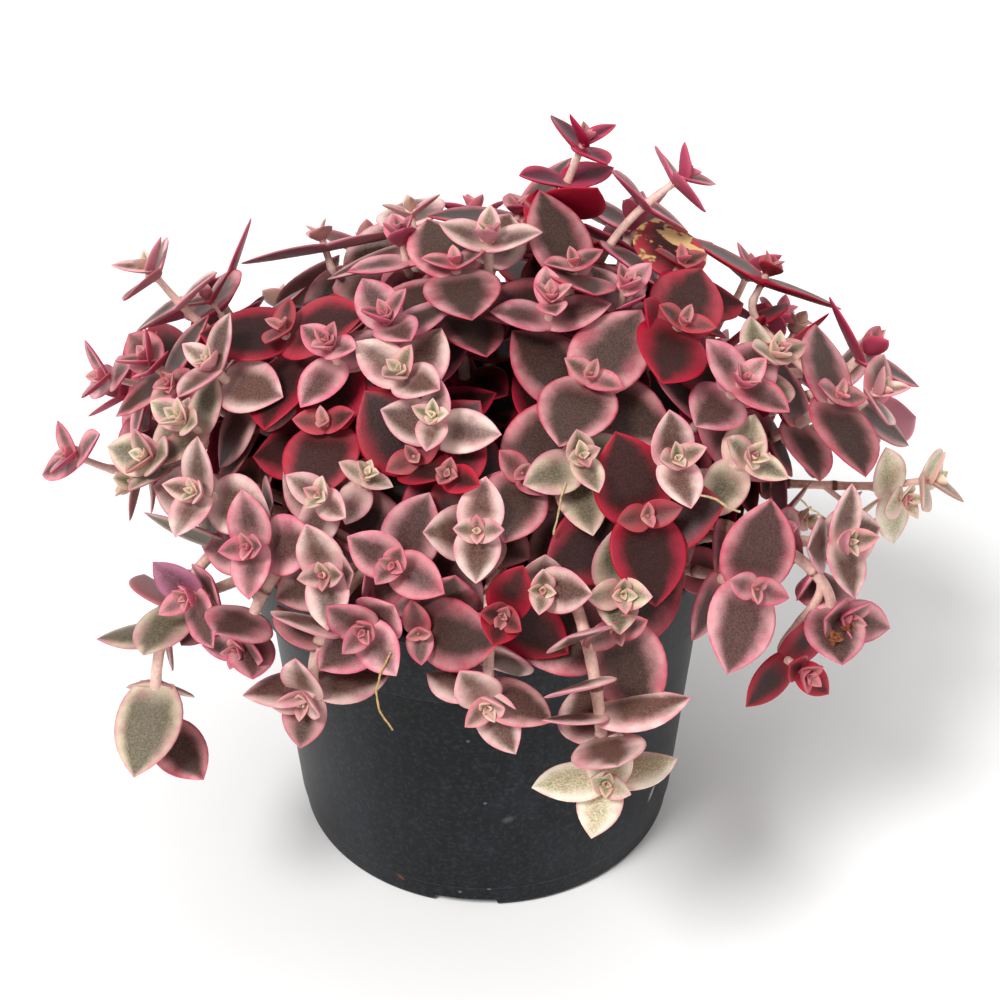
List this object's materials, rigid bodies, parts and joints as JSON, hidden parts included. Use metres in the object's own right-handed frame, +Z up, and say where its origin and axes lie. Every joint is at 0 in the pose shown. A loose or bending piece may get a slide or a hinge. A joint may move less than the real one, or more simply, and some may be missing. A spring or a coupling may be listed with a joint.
{
  "type": "potted crassula marginalis",
  "caption": "Black round nursery pot filled with soil and a low dome of branching succulent shoots with broad pointed leaves in crossed pairs, some hanging over the rim.",
  "frame": {"origin": "middle of the pot's underside, on the surface it stands on", "axes": "+Z up, +X to the right and -Y towards the viewer of the picture"},
  "size_m": [0.2089, 0.1726, 0.1766],
  "materials": {
    "pot": "moulded polyethylene, matte, dusty and lightly scuffed",
    "soil": "damp peat with grit and bark crumbs",
    "foliage": "waxy succulent leaves, dusty rose to plum with thin crimson margins"
  },
  "bodies": {
    "root": {"pot": "pot", "soil": "soil", "shoot_01": "foliage", "shoot_02": "foliage", "shoot_03": "foliage", "shoot_04": "foliage", "shoot_05": "foliage", "shoot_06": "foliage", "shoot_07": "foliage", "shoot_08": "foliage", "shoot_09": "foliage", "shoot_10": "foliage", "shoot_11": "foliage", "shoot_12": "foliage", "shoot_13": "foliage", "shoot_14": "foliage", "shoot_15": "foliage", "shoot_16": "foliage", "shoot_17": "foliage", "shoot_18": "foliage", "shoot_19": "foliage", "shoot_20": "foliage", "shoot_21": "foliage", "shoot_22": "foliage", "shoot_23": "foliage", "shoot_24": "foliage", "shoot_25": "foliage", "shoot_26": "foliage", "shoot_27": "foliage", "shoot_28": "foliage", "shoot_29": "foliage", "shoot_30": "foliage", "shoot_31": "foliage", "shoot_32": "foliage", "shoot_33": "foliage", "shoot_34": "foliage", "shoot_35": "foliage", "shoot_36": "foliage", "shoot_37": "foliage", "shoot_38": "foliage", "shoot_39": "foliage", "shoot_40": "foliage", "shoot_41": "foliage", "shoot_42": "foliage", "shoot_43": "foliage", "shoot_44": "foliage", "shoot_45": "foliage", "shoot_46": "foliage", "shoot_47": "foliage", "shoot_48": "foliage", "shoot_49": "foliage", "shoot_50": "foliage", "shoot_51": "foliage", "shoot_52": "foliage", "shoot_53": "foliage", "shoot_54": "foliage", "shoot_55": "foliage", "shoot_56": "foliage", "shoot_57": "foliage", "shoot_58": "foliage"}
  },
  "joints": []
}
